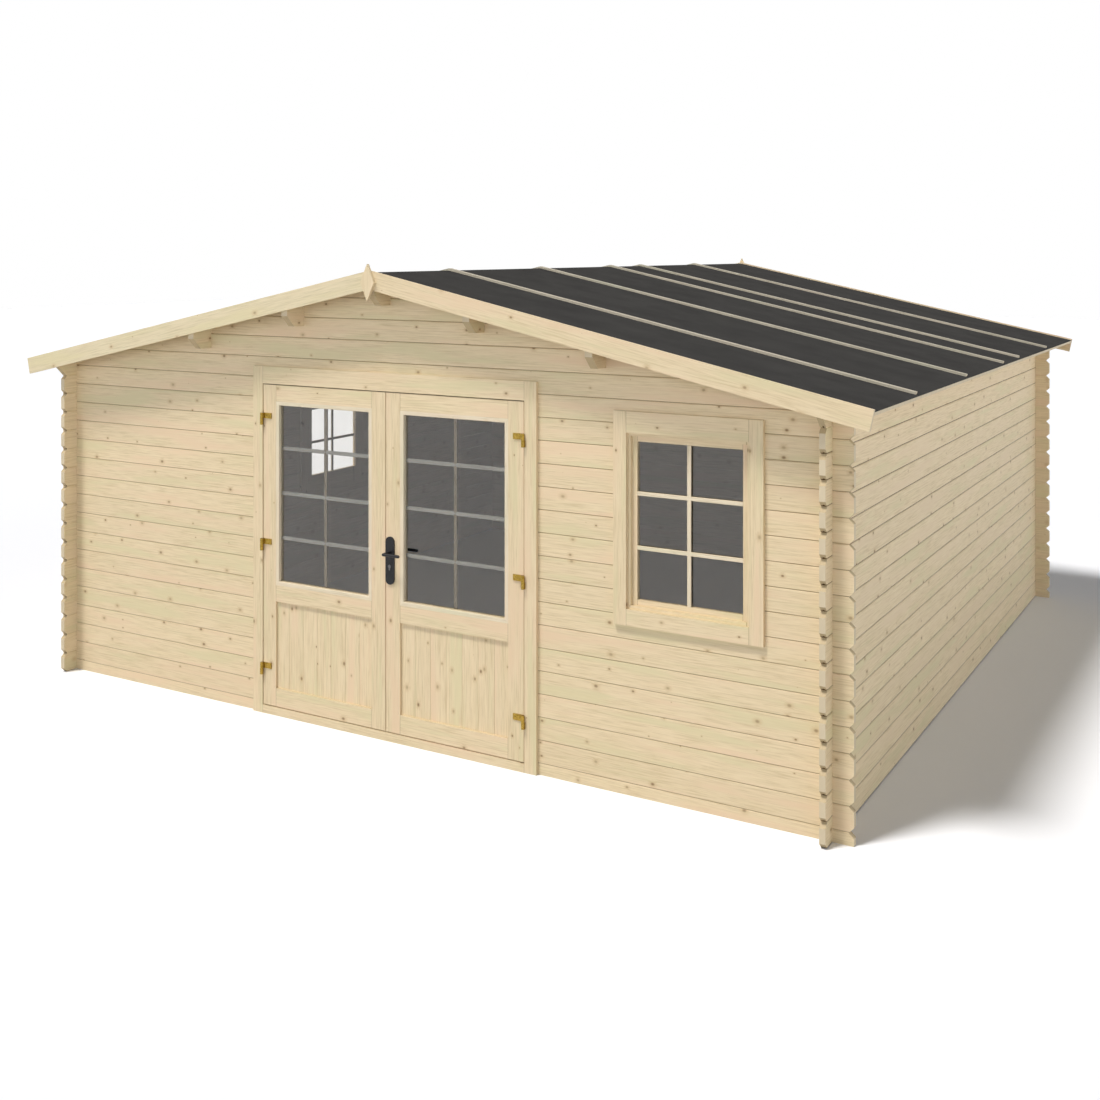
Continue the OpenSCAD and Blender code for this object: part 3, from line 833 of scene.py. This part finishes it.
class Finishes:
    """Every finish of the cabin, made once."""

    def __init__(self) -> None:
        """Makes the finishes."""
        wood = WoodFinish
        self.gable_logs = wood("gable_wall_logs", Grain.LEVEL_X, LOG_HEIGHT, 0.5, seed=3.0, wall=True,
                               joint_half=0.0024, joint_depth=0.7, joint=paint(124, 98, 62)).make()
        # Side walls: darker, wider joint lines, partly painted shade in the grooves.
        self.side_logs = wood("side_wall_logs", Grain.LEVEL_Y, LOG_HEIGHT, seed=61.0, wall=True,
                              joint_half=0.0032, joint_depth=1.0, joint=paint(104, 82, 50),
                              pink=paint(226, 204, 170)).make()
        self.plates = wood("eaves_plate_wood", Grain.LEVEL_Y, seed=7.0).make()
        self.purlins = wood("purlin_wood", Grain.LEVEL_Y, seed=12.0).make()
        trim = {"cell_along": 0.42, "cell_across": 0.07}
        self.upright = wood("upright_trim", Grain.UPRIGHT, seed=21.0, **trim).make()
        self.level = wood("level_trim", Grain.LEVEL_X, seed=24.0, seams=level_ends("door_head"),
                          **trim).make()
        self.stile = wood("stile_wood", Grain.UPRIGHT, seed=27.0, cell_along=0.36, cell_across=0.09).make()
        leaf_ends = level_ends("left_leaf_rails") + level_ends("right_leaf_rails")
        # Rails and the window pieces take painted shade on their top faces.
        self.rail = wood("rail_wood", Grain.LEVEL_X, seed=31.0, cell_along=0.42, cell_across=0.09,
                         seams=leaf_ends, ledge_share=0.6).make()
        round_windows = {"grain": Grain.ROUND_WINDOWS, "ends": False, "ledge_share": 0.6}
        self.casing = wood("window_casing_wood", seed=35.0, seams=window_ends("window_heads_and_sills"),
                           **round_windows, **trim).make()
        self.sash = wood("window_sash_wood", seed=36.0, seams=window_ends("window_sash_rails"),
                         **round_windows, **trim).make()
        plain = {"knot_share": 0.1}
        soft = {"dark": paint(209, 193, 162), "body": paint(228, 213, 185), "light": paint(236, 222, 196),
                "pink": paint(229, 208, 180), "green": paint(222, 213, 181)}
        self.bars = (wood("upright_bar_wood", Grain.UPRIGHT, seed=39.0, **plain, **soft).make(),
                     wood("level_bar_wood", seed=41.0, **round_windows, **plain, **soft).make())
        # Leaf bars behind the glass carry painted shade, darker on the uprights. The level bars' paler grey
        # is painted light on them.
        pale = {"dark": paint(192, 190, 178), "body": paint(211, 209, 198), "light": paint(220, 218, 208),
                "pink": paint(212, 206, 195), "green": paint(207, 207, 194)}
        self.glass_bars = (
            wood("upright_leaf_bar_shaded_wood", Grain.UPRIGHT, seed=39.0, shade=0.31, **plain).make(),
            wood("level_leaf_bar_shaded_wood", Grain.LEVEL_X, seed=41.0, shade=0.58, **plain, **pale).make())
        # Near-black strips behind the window bars: a painted shadow line beside each bar.
        self.shadow_line_spacer = wood("shadow_line_spacer_wood", Grain.UPRIGHT, seed=44.0, shade=0.05, **plain).make()
        cool = {"dark": paint(199, 184, 147), "body": paint(219, 204, 169), "light": paint(228, 213, 180),
                "pink": paint(223, 203, 169)}
        self.slope = {
            Side.LEFT: wood("left_barge_wood", Grain.SLOPE_LEFT, seed=43.0, **cool).make(),
            Side.RIGHT: wood("right_barge_wood", Grain.SLOPE_RIGHT, seed=46.0, cell_along=0.24).make(),
        }
        self.deck = {side: wood(f"{side.word}_deck_wood", Grain[f"DECK_{side.name}"], PLANK_WIDTH,
                                seed=53.0 + 2.0 * side.value).make() for side in Side}
        grey = {"dark": paint(170, 161, 142), "body": paint(188, 179, 159), "light": paint(200, 191, 171),
                "pink": paint(191, 178, 159), "green": paint(184, 180, 158)}
        self.batten = {side: wood(f"{side.word}_batten_wood", Grain[f"DECK_{side.name}"], **plain, **grey,
                                  seed=73.0 + 2.0 * side.value).make() for side in Side}
        self.felt = FeltFinish().make()
        self.glass = GlassFinish().make()
        metal = MetalFinish
        self.brass = metal("hinge_brass", paint(136, 110, 46), paint(196, 166, 82), 1.0, (0.42, 0.26)).make()
        self.black = metal("black_handle", paint(24, 25, 27), paint(40, 41, 44), 0.35, (0.48, 0.3)).make()
        self.steel = metal("lock_steel", paint(84, 84, 86), paint(126, 126, 128), 1.0, (0.42, 0.28)).make()


@dataclass
class CabinShell:
    """The solids that keep their shape and only take a finish."""

    finishes: Finishes

    def dress(self) -> None:
        """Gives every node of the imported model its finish."""
        coats = self.coats()
        for name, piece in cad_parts.items():
            piece.data.materials.clear()
            piece.data.materials.append(coats[name])
            LOG.info("%s: %s", name, coats[name].name)

    def coats(self) -> dict[str, Material]:
        """Chooses the finish of each node.

        Returns:
            The finishes by the nodes' names.
        """
        made = self.finishes
        coats = {
            "ridge_purlin": made.purlins, "gable_finials": made.upright, "door_jambs": made.upright,
            "door_head": made.level, "door_threshold": made.level, "door_hinge_pins": made.brass,
            "handle_plates": made.black, "door_lever": made.black,
            "window_side_casings": made.upright, "window_heads_and_sills": made.casing,
            "window_sash_stiles": made.stile, "window_sash_rails": made.sash, "window_panes": made.glass,
        }
        for order in ("odd", "even"):
            coats.update({f"{wall}_wall_{order}_logs": made.gable_logs for wall in ("front", "back")})
            coats.update({f"{wall}_wall_{order}_logs": made.side_logs for wall in ("left", "right")})
        for side in Side:
            word = side.word
            coats.update({
                f"{word}_eaves_plate": made.plates, f"{word}_purlins": made.purlins,
                f"{word}_roof_boards": made.deck[side], f"{word}_roof_felt": made.felt,
                f"{word}_felt_battens": made.batten[side], f"front_{word}_bargeboard": made.slope[side],
                f"back_{word}_bargeboard": made.slope[side], f"{word}_leaf_stiles": made.stile,
                f"{word}_leaf_rails": made.rail, f"{word}_leaf_panel": made.stile,
                f"{word}_leaf_glass": made.glass, f"{word}_leaf_hinges": made.brass,
            })
        return coats


@dataclass
class DoorLeaf:
    """Glazing bars, beads and panel boards of one leaf."""

    side: Side
    finishes: Finishes
    columns: int = 2
    rows: int = 4
    bar_w: float = 0.020
    bar_t: float = 0.012
    bar_round: float = 0.0022
    bead_w: float = 0.022
    bead_edge: float = 0.0035
    bead_steps: int = 3
    bead_round: float = 0.0008
    inner_bead_t: float = 0.014
    inner_round: float = 0.002
    boards: int = 7
    board_groove: float = 0.0014

    @property
    def body(self) -> str:
        """Body that the leaf's pieces ride on."""
        return f"{self.side.word}_door"

    def opening(self) -> tuple[Pair, Pair, float, float]:
        """Opening for the glass.

        Returns:
            Lowest X and Z, highest X and Z, and the glass's front and back along Y.
        """
        low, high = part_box(f"{self.side.word}_leaf_glass")
        return *inset(low.xz, high.xz, SEAT), low.y, high.y

    def build(self) -> None:
        """Makes and dresses the leaf's pieces."""
        self.build_bars()
        self.build_beads()
        self.build_boards()

    def build_bars(self) -> None:
        """Glazing bars behind the glass."""
        low, high, _, back = self.opening()
        middle = back + TOUCH + self.bar_t / 2
        piece = Bench.lattice(f"{self.side.word}_leaf_bars", *inset(low, high, self.bead_w), middle,
                              self.columns, self.rows, self.bar_w, self.bar_t)
        Bench.soften(piece, self.bar_round)
        finished(piece, self.body, "joinery_wood", *self.finishes.glass_bars)

    def build_beads(self) -> None:
        """Beads that hold the glass, outside and inside."""
        low, high, front, back = self.opening()
        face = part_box(f"{self.side.word}_leaf_rails")[0].y
        depth = front - face - TOUCH
        outer = Bench.border(f"{self.side.word}_leaf_outer_bead", low, high, face + depth / 2, self.bead_w,
                             depth)
        foot, head = inset(low, high, self.bead_w - NEAR)

        def by_glass(edge: bmesh.types.BMEdge) -> bool:
            """Tells whether an edge lies on the bead's front, next to the glass."""
            x, y, z = (edge.verts[0].co + edge.verts[1].co) / 2
            return abs(y - face) < NEAR and foot[0] < x < head[0] and foot[1] < z < head[1]

        Bench.chamfer(outer, by_glass, self.bead_edge, self.bead_steps)
        Bench.soften(outer, self.bead_round, 1)
        finished(outer, self.body, "joinery_wood", *self.finishes.bars)
        inner = Bench.border(f"{self.side.word}_leaf_inner_bead", low, high,
                             back + TOUCH + self.inner_bead_t / 2, self.bead_w, self.inner_bead_t)
        Bench.soften(inner, self.inner_round)
        finished(inner, self.body, "joinery_wood", *self.finishes.bars)

    def build_boards(self) -> None:
        """Upright boards of the panel, with a groove along each joint."""
        node = f"{self.side.word}_leaf_panel"
        low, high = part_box(node)
        width = (high.x - low.x) / self.boards
        piece = Bench.block(f"{self.side.word}_leaf_boards", low, (low.x + width, high.y, high.z))
        Bench.chamfer(piece, lambda edge: abs(edge.verts[0].co.z - edge.verts[1].co.z) > NEAR,
                      self.board_groove)
        Bench.row(piece, self.boards, (width, 0.0, 0.0))
        finish = WoodFinish(f"{self.side.word}_panel_wood", Grain.UPRIGHT, width, -(low.x + low.y) / width,
                            joint_half=0.0008, joint_depth=0.2, seed=81.0 + 9.0 * self.side.value,
                            cell_along=0.2, cell_across=0.095).make()
        finished(piece, self.body, "joinery_wood", finish)
        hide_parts(node)


@dataclass
class WindowBars:
    """Glazing bars in front of the panes of both windows, on near-black spacers that paint the shadow line
    beside each bar.
    """

    finishes: Finishes
    columns: int = 2
    rows: int = 3
    bar_w: float = 0.020
    bar_t: float = 0.0068
    spacer_w: float = 0.017
    spacer_t: float = 0.005
    soft_edge: float = 0.0018

    def build(self) -> None:
        """Makes the near-black spacers next to the panes, a painted shadow line, and the bars in front of
        them.
        """
        dark = self.finishes.shadow_line_spacer
        self.build_layer("spacers", TOUCH, self.spacer_w, self.spacer_t, (dark, dark))
        self.build_layer("bars", TOUCH + self.spacer_t, self.bar_w, self.bar_t, self.finishes.bars)

    def build_layer(self, word: str, gap: float, width: float, thickness: float,
                    coats: Sequence[Material]) -> None:
        """Makes one layer at the front window and copies it to the side window.

        Args:
            word: What the layer is.
            gap: Distance from the pane.
            width: Width of its members.
            thickness: Thickness of its members.
            coats: Finishes of the upright and the level members.
        """
        low, high, side_low, side_high = window_boxes("window_panes")
        piece = Bench.lattice(f"front_window_{word}", *inset(low.xz, high.xz, SEAT),
                              low.y - gap - thickness / 2, self.columns, self.rows, width, thickness)
        Bench.soften(piece, self.soft_edge)
        turn = Matrix.Rotation(-QUARTER_TURN, 4, "Z")
        there = Matrix.Translation((side_low + side_high) / 2)
        side = Bench.copy(piece, f"side_window_{word}", there @ turn @ Matrix.Translation(-(low + high) / 2))
        for layer in (piece, side):
            finished(layer, "cabin", "joinery_wood", *coats)


@dataclass
class DoorLock:
    """Lock cylinder and screws of the door hardware."""

    finishes: Finishes
    key_radius: float = 0.0085
    key_slot: float = 0.010
    key_tail: float = 0.020
    key_z: float = 0.918
    key_out: float = 0.0025
    key_rim: float = 0.0028
    key_dish: float = 0.985
    key_neck: float = 0.6
    key_round: float = 0.45
    key_steps: int = 5
    key_corners: int = 28
    soft_edge: float = 0.0004
    screw_r: float = 0.0042
    screw_out: float = 0.0013
    screw_rim: float = 0.35
    screw_dish: float = 0.3
    screw_rise: float = 0.0004
    screw_sink: float = 0.0009
    screw_corners: int = 14
    strap_screws: Numbers = (0.026, 0.049)
    strap_up: float = 0.0175
    strap_t: float = 0.005
    pin_x: float = 0.8465
    hinge_foot: float = 0.200
    hinge_head: float = 0.190

    def build(self) -> None:
        """Makes and dresses the lock and the screws."""
        self.build_cylinder()
        self.build_screws()

    def build_cylinder(self) -> None:
        """Lock cylinder that shows on both handle plates."""
        low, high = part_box("handle_plates")
        x = (low.x + high.x) / 2
        length = high.y - low.y + 2 * self.key_out
        middle = (low.y + high.y) / 2
        barrel = Bench.disc("lock_barrel", (x, middle, self.key_z), self.key_radius, length, self.key_corners)
        Bench.select(barrel, Element.FACES, lambda face: abs(face.normal.y) > STRAIGHT)
        bpy.ops.mesh.inset(thickness=self.key_rim, use_individual=True)
        bpy.ops.transform.resize(value=(1.0, self.key_dish, 1.0), center_override=(x, middle, self.key_z))
        Bench.close()
        neck = self.key_radius * self.key_neck
        half = Vector((self.key_slot / 2, length / 2 - self.soft_edge, (self.key_tail - neck) / 2))
        core = Vector((x, middle, self.key_z - neck - half.z))
        tail = Bench.block("lock_tail", core - half, core + half)
        Bench.chamfer(tail, lambda edge: all(vert.co.z < core.z for vert in edge.verts)
                      and abs(edge.verts[0].co.y - edge.verts[1].co.y) > NEAR,
                      self.key_slot * self.key_round, self.key_steps)
        piece = Bench.join("lock_cylinder", [barrel, tail])
        Bench.soften(piece, self.soft_edge, 1)
        finished(piece, "right_door", "handle_metal", self.finishes.steel)

    def build_screws(self) -> None:
        """Screw heads in the hinge straps, one modelled and the rest copied."""
        leaf_low, leaf_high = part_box("right_leaf_stiles")
        strap = leaf_low.y - self.strap_t
        hinges = (leaf_low.z + self.hinge_foot, (leaf_low.z + leaf_high.z) / 2, leaf_high.z - self.hinge_head)
        for side in Side:
            spots = [Vector((side.value * (self.pin_x - away), strap - self.screw_out / 2, z + self.strap_up))
                     for z in hinges for away in self.strap_screws]
            heads = [self.screw(spots[0])]
            for spot in spots[1:]:
                heads.append(Bench.copy(heads[0], "strap_screw", Matrix.Translation(spot - spots[0])))
            piece = Bench.join(f"{side.word}_strap_screws", heads)
            finished(piece, f"{side.word}_door", "hinge_brass", self.finishes.brass)

    def screw(self, spot: Numbers) -> Piece:
        """Models one dished screw head.

        Args:
            spot: Middle of the head.

        Returns:
            The head.
        """
        head = Bench.disc("strap_screw", spot, self.screw_r, self.screw_out, self.screw_corners)
        Bench.select(head, Element.FACES, lambda face: face.normal.y < -STRAIGHT)
        bpy.ops.mesh.inset(thickness=self.screw_r * self.screw_rim)
        bpy.ops.transform.translate(value=(0.0, -self.screw_rise, 0.0))
        bpy.ops.mesh.inset(thickness=self.screw_r * self.screw_dish)
        bpy.ops.transform.translate(value=(0.0, self.screw_sink, 0.0))
        Bench.close()
        return head


@dataclass
class RoofDeck:
    """Roof boards of one slope, from ridge to eaves, chamfered along their joints underneath."""

    side: Side
    finishes: Finishes
    board_w: float = PLANK_WIDTH
    board_t: float = 0.016
    joint: float = 0.003

    def build(self) -> None:
        """Makes and dresses the boards."""
        node = f"{self.side.word}_roof_boards"
        low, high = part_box(node)
        count = round((high.y - low.y) / self.board_w)
        width = (high.y - low.y) / count
        ridge_z = high.z - self.board_t / FLAT
        reach = max(abs(low.x), abs(high.x))
        slope = (reach - self.board_t * STEEP) / FLAT
        near, far = sorted((0.0, self.side.value * slope))
        piece = Bench.block(f"{self.side.word}_roof_planks", (near, low.y, 0.0),
                            (far, low.y + width, self.board_t))
        Bench.chamfer(piece, lambda edge: abs(edge.verts[0].co.x - edge.verts[1].co.x) > NEAR
                      and edge.verts[0].co.z < NEAR, self.joint)
        Bench.row(piece, count, (0.0, width, 0.0))
        turn = Matrix.Rotation(self.side.value * PITCH, 4, "Y")
        piece.data.transform(Matrix.Translation((0.0, 0.0, ridge_z)) @ turn)
        finished(piece, "cabin", "roof_wood", self.finishes.deck[self.side])
        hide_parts(node)


@dataclass
class Studio:
    """Pale floor, soft light and the camera at the photo's angle."""

    floor_half: float = 45.0
    floor_drop: float = 0.0006
    camera_at: Triple = (4.2330, -8.0456, 2.5734)
    camera_turn: float = 0.529593
    lens: float = 43.689
    sensor: float = 36.0
    sight: float = 300.0
    shift: Pair = (0.00909, -0.27302)
    sky_low: float = 3.12
    sky_high: float = 0.03
    sky_fall: float = 4.0
    key_level: float = 2.87
    key_soft: float = 12.0
    key_turn: float = 33.0
    key_height: float = 64.5
    fill_level: float = 0.46
    fill_soft: float = 60.0
    cool: Colour = (0.96, 1.0, 1.06, 1.0)
    warm: Triple = (1.0, 0.975, 0.95)
    fill_from: Triple = (0.97, 0.15, 0.04)
    floor_seen: Colour = (0.95, 0.965, 1.0, 1.0)
    floor_mirrored: Colour = (0.93, 0.92, 0.91, 1.0)
    floor_lit: Colour = (0.45, 0.45, 0.45, 1.0)
    floor_rough: float = 0.9

    def build(self) -> None:
        """Sets up the floor, the light and the camera."""
        self.build_floor()
        self.build_light()
        self.build_camera()

    def build_floor(self) -> None:
        """White floor that keeps the cabin's shadow."""
        Bench.pick()
        bpy.ops.mesh.primitive_plane_add(size=2 * self.floor_half, location=(0.0, 0.0, -self.floor_drop))
        floor = Bench.settle("studio_floor")
        web = NodeWeb("white_floor")
        direct, mirrored, _ = web.rays()
        colour = web.blend(mirrored, self.floor_lit, self.floor_mirrored)
        web.shade({"Base Color": web.blend(direct, colour, self.floor_seen),
                   "Roughness": self.floor_rough, "Specular IOR Level": 0.0})
        floor.data.materials.append(web.owner)

    def build_light(self) -> None:
        """White sky, brightest at the horizon, a soft key light from the front left and a weak fill."""
        web = NodeWeb("studio_sky", sky=True)
        bpy.context.scene.world = web.owner
        seen = web.rays()[2]
        down = web.node("Math", {0: 1.0, 1: web.dot(web.place(), Z_WAY)}, operation="SUBTRACT",
                        use_clamp=True).outputs[0]
        feeds = {"Value": web.sum("POWER", down, self.sky_fall), "To Min": self.sky_high,
                 "To Max": self.sky_low}
        glow = web.node("MapRange", feeds).outputs[0]
        level = web.node("Mix", {"Factor": seen, "A": glow, "B": 1.0}).outputs[0]
        web.shade({"Color": web.blend(seen, self.cool, WHITE), "Strength": level})
        turn, rise = math.radians(self.key_turn), math.radians(self.key_height)
        key_from = (-math.sin(turn) * math.cos(rise), -math.cos(turn) * math.cos(rise), math.sin(rise))
        self.lamp("key_light", key_from, self.key_level, self.key_soft, self.warm)
        self.lamp("fill_light", self.fill_from, self.fill_level, self.fill_soft)
        bpy.context.scene.view_settings.view_transform = "Standard"

    @staticmethod
    def lamp(name: str, origin: Numbers, level: float, soft: float, colour: Triple = WHITE[:3]) -> None:
        """Adds a lamp that shines from a direction.

        Args:
            name: Name of the lamp.
            origin: Direction that the light comes from.
            level: Its strength.
            soft: Width of the light in degrees.
            colour: Colour of the light.
        """
        data = bpy.data.lights.new(name, "SUN")
        data.energy = level
        data.color = colour
        data.angle = math.radians(soft)
        lamp = bpy.data.objects.new(name, data)
        lamp.rotation_euler = Vector(origin).to_track_quat("Z", "Y").to_euler()
        bpy.context.scene.collection.objects.link(lamp)

    def build_camera(self) -> None:
        """Level camera with the photo's place, lens and shift."""
        data = bpy.data.cameras.new("photo_camera")
        data.lens = self.lens
        data.sensor_width = self.sensor
        data.shift_x, data.shift_y = self.shift
        data.clip_end = self.sight
        camera = bpy.data.objects.new("photo_camera", data)
        camera.location = self.camera_at
        camera.rotation_euler = (QUARTER_TURN, 0.0, self.camera_turn)
        bpy.context.scene.collection.objects.link(camera)
        bpy.context.scene.camera = camera


def main() -> None:
    """Builds the studio and the cabin's pieces in order."""
    logging.basicConfig(level=logging.INFO, format="%(name)s: %(message)s")
    Studio().build()
    finishes = Finishes()
    CabinShell(finishes).dress()
    for side in Side:
        DoorLeaf(side, finishes).build()
        RoofDeck(side, finishes).build()
    WindowBars(finishes).build()
    DoorLock(finishes).build()
    Bench.pick()


if __name__ == "__main__":
    main()
